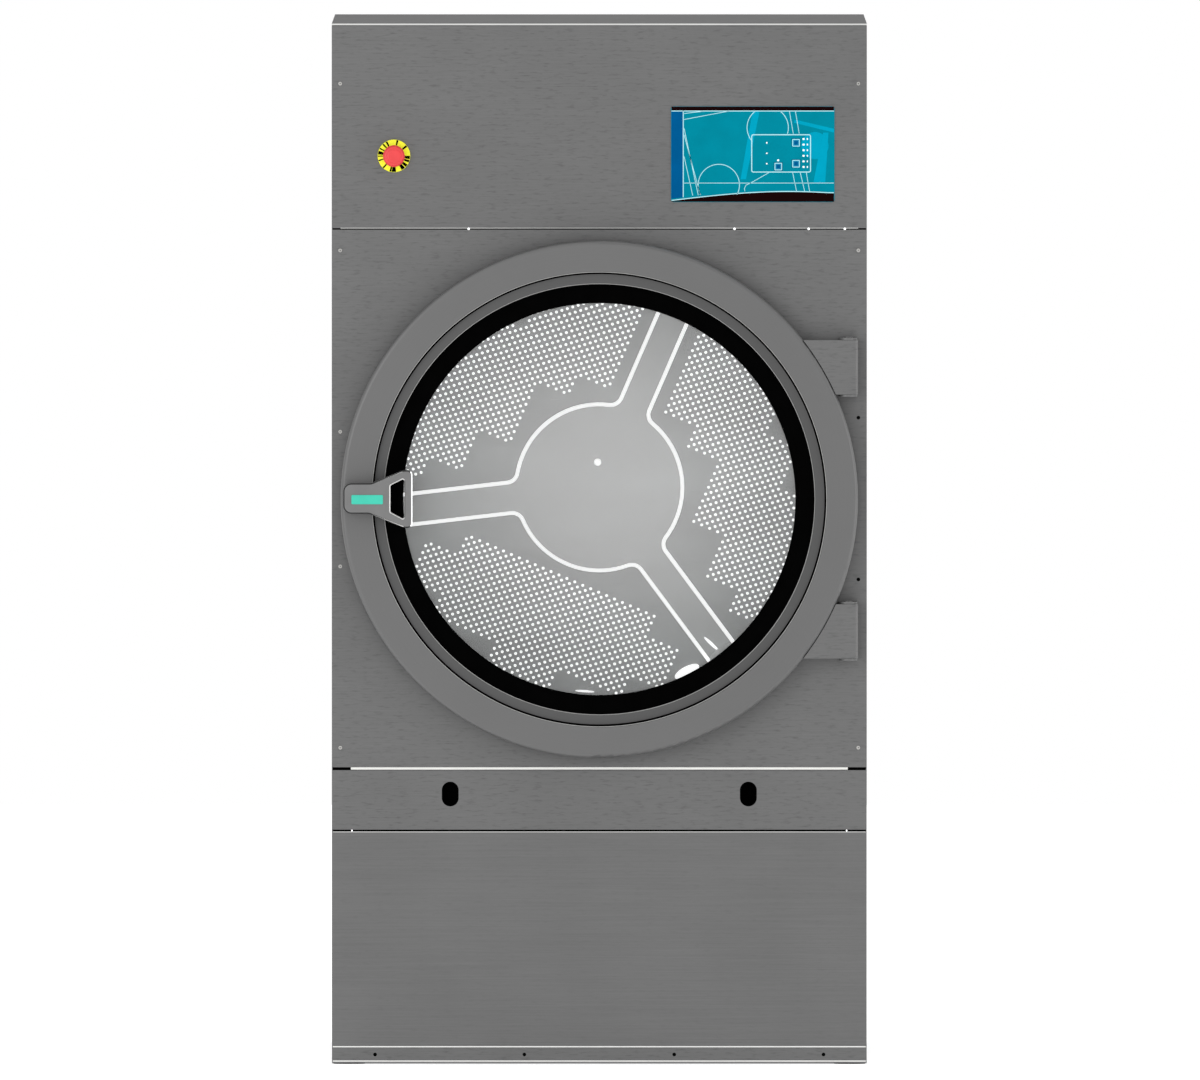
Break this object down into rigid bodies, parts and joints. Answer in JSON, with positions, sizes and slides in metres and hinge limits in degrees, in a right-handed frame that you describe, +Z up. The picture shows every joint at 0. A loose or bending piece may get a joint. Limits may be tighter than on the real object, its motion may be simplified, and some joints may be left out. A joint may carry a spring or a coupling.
{
  "type": "tumble dryer",
  "caption": "Free-standing commercial tumble dryer with a round glazed front door, perforated drum, lint drawer and rear exhaust spigot.",
  "frame": {"origin": "on the floor, under the middle of the machine's overall box (handle tip to exhaust spigot)", "axes": "+Z up, the front faces -Y, +X to the right seen from the front"},
  "size_m": [0.985, 1.24, 1.9165],
  "materials": {
    "panel_paint": "grey coated sheet, satin with a fine brushed grain",
    "handle_plastic": "grey moulded plastic, satin",
    "galvanised": "zinc-coated sheet",
    "frame_paint": "dark painted steel",
    "drum_steel": "satin stainless sheet",
    "screw_steel": "zinc-plated",
    "glass": "clear tempered",
    "black_rubber": "black, matt",
    "foot_rubber": "dark, matt",
    "felt": "white felt",
    "overlay_film": "printed film, semi-gloss",
    "key_plastic": "film-covered key",
    "badge_plastic": "teal",
    "stop_yellow": "yellow legend plate",
    "stop_red": "red mushroom head",
    "black_plastic": "black moulded",
    "board": "circuit board",
    "motor_metal": "die-cast, painted",
    "pulley_metal": "turned",
    "cast_metal": "cast, painted",
    "bearing_steel": "ground",
    "magnet": "ferrite in a steel cup",
    "element_steel": "sheathed heating rod",
    "belt_rubber": "ribbed belt"
  },
  "bodies": {
    "cabinet": {"base_frame": "panel_paint", "levelling_feet": "foot_rubber", "side_panel_left": "panel_paint", "side_panel_right": "panel_paint", "top_panel": "panel_paint", "rear_panel": "galvanised", "front_frame": "frame_paint", "control_fascia": "panel_paint", "door_surround": "panel_paint", "service_panel": "panel_paint", "panel_screws": "screw_steel", "control_overlay": "overlay_film", "control_board": "board", "estop_ring": "stop_yellow", "estop_housing": "black_plastic", "electrical_box": "galvanised", "cable_gland": "black_plastic", "hinge_brackets": "panel_paint", "hinge_pins": "screw_steel", "door_magnets": "magnet", "drive_frame": "frame_paint", "bearing_housing": "cast_metal", "drum_bearings": "bearing_steel", "drive_belts": "belt_rubber", "drive_motor": "motor_metal", "air_jacket": "galvanised", "drum_collar": "drum_steel", "heater_box": "galvanised", "heater_elements": "element_steel", "lint_plenum": "galvanised", "fan_housing": "galvanised", "fan_motor": "motor_metal", "exhaust_duct": "galvanised", "drawer_seal": "felt"},
    "door": {"door_ring": "panel_paint", "door_inner_ring": "panel_paint", "glass_seal": "black_rubber", "door_glass": "glass", "door_gasket": "black_rubber", "hinge_arms": "panel_paint", "door_handle": "handle_plastic", "handle_badge": "badge_plastic"},
    "drum": {"drum_shell": "drum_steel", "drum_back": "drum_steel", "drum_star": "drum_steel", "drum_lifters": "drum_steel", "drum_shaft": "bearing_steel", "drum_pulley": "pulley_metal"},
    "drawer": {"drawer_front": "panel_paint", "finger_cups": "black_plastic", "drawer_tray": "galvanised", "lint_screen": "drum_steel"},
    "idler": {"idler_pulley": "pulley_metal"},
    "motor_rotor": {"motor_pulley": "pulley_metal"},
    "fan_rotor": {"fan_impeller": "galvanised"},
    "stop_plunger": {"estop_plunger": "black_plastic"},
    "stop_head": {"estop_head": "stop_red"},
    "up_key": {"key_up": "key_plastic"},
    "down_key": {"key_down": "key_plastic"},
    "start_key": {"key_start": "key_plastic"}
  },
  "joints": [
    {"name": "door_hinge", "type": "hinge", "parent": "cabinet", "child": "door", "pos_m": [0.458, -0.569, 1.0415], "axis": [0, 0, 1], "range_deg": [0, 180]},
    {"name": "drawer_slide", "type": "slide", "parent": "cabinet", "child": "drawer", "axis": [0, -1, 0], "range_m": [0, 0.45]},
    {"name": "drum_spin", "type": "hinge", "parent": "cabinet", "child": "drum", "pos_m": [0, 0, 1.0415], "axis": [0, 1, 0], "continuous": true},
    {"name": "idler_spin", "type": "hinge", "parent": "cabinet", "child": "idler", "pos_m": [-0.235, 0.45, 0.6715], "axis": [0, 1, 0], "continuous": true},
    {"name": "motor_spin", "type": "hinge", "parent": "cabinet", "child": "motor_rotor", "pos_m": [0.12, 0.45, 0.47], "axis": [0, 1, 0], "continuous": true},
    {"name": "fan_spin", "type": "hinge", "parent": "cabinet", "child": "fan_rotor", "pos_m": [-0.15, -0.1, 0.215], "axis": [1, 0, 0], "continuous": true},
    {"name": "stop_push", "type": "slide", "parent": "cabinet", "child": "stop_plunger", "axis": [0, 1, 0], "range_m": [0, 0.005], "stiffness_N_per_m": 1500},
    {"name": "stop_twist", "type": "hinge", "parent": "stop_plunger", "child": "stop_head", "pos_m": [-0.378, -0.56, 1.673], "axis": [0, 1, 0], "range_deg": [0, 45], "stiffness_Nm_per_rad": 0.2},
    {"name": "up_press", "type": "slide", "parent": "cabinet", "child": "up_key", "axis": [0, 1, 0], "range_m": [0, 0.0005], "stiffness_N_per_m": 800},
    {"name": "down_press", "type": "slide", "parent": "cabinet", "child": "down_key", "axis": [0, 1, 0], "range_m": [0, 0.0005], "stiffness_N_per_m": 800},
    {"name": "start_press", "type": "slide", "parent": "cabinet", "child": "start_key", "axis": [0, 1, 0], "range_m": [0, 0.0005], "stiffness_N_per_m": 800}
  ],
  "couplings": [
    {"joint": "idler_spin", "follows": "drum_spin", "ratio": 6},
    {"joint": "motor_spin", "follows": "drum_spin", "ratio": 30}
  ]
}
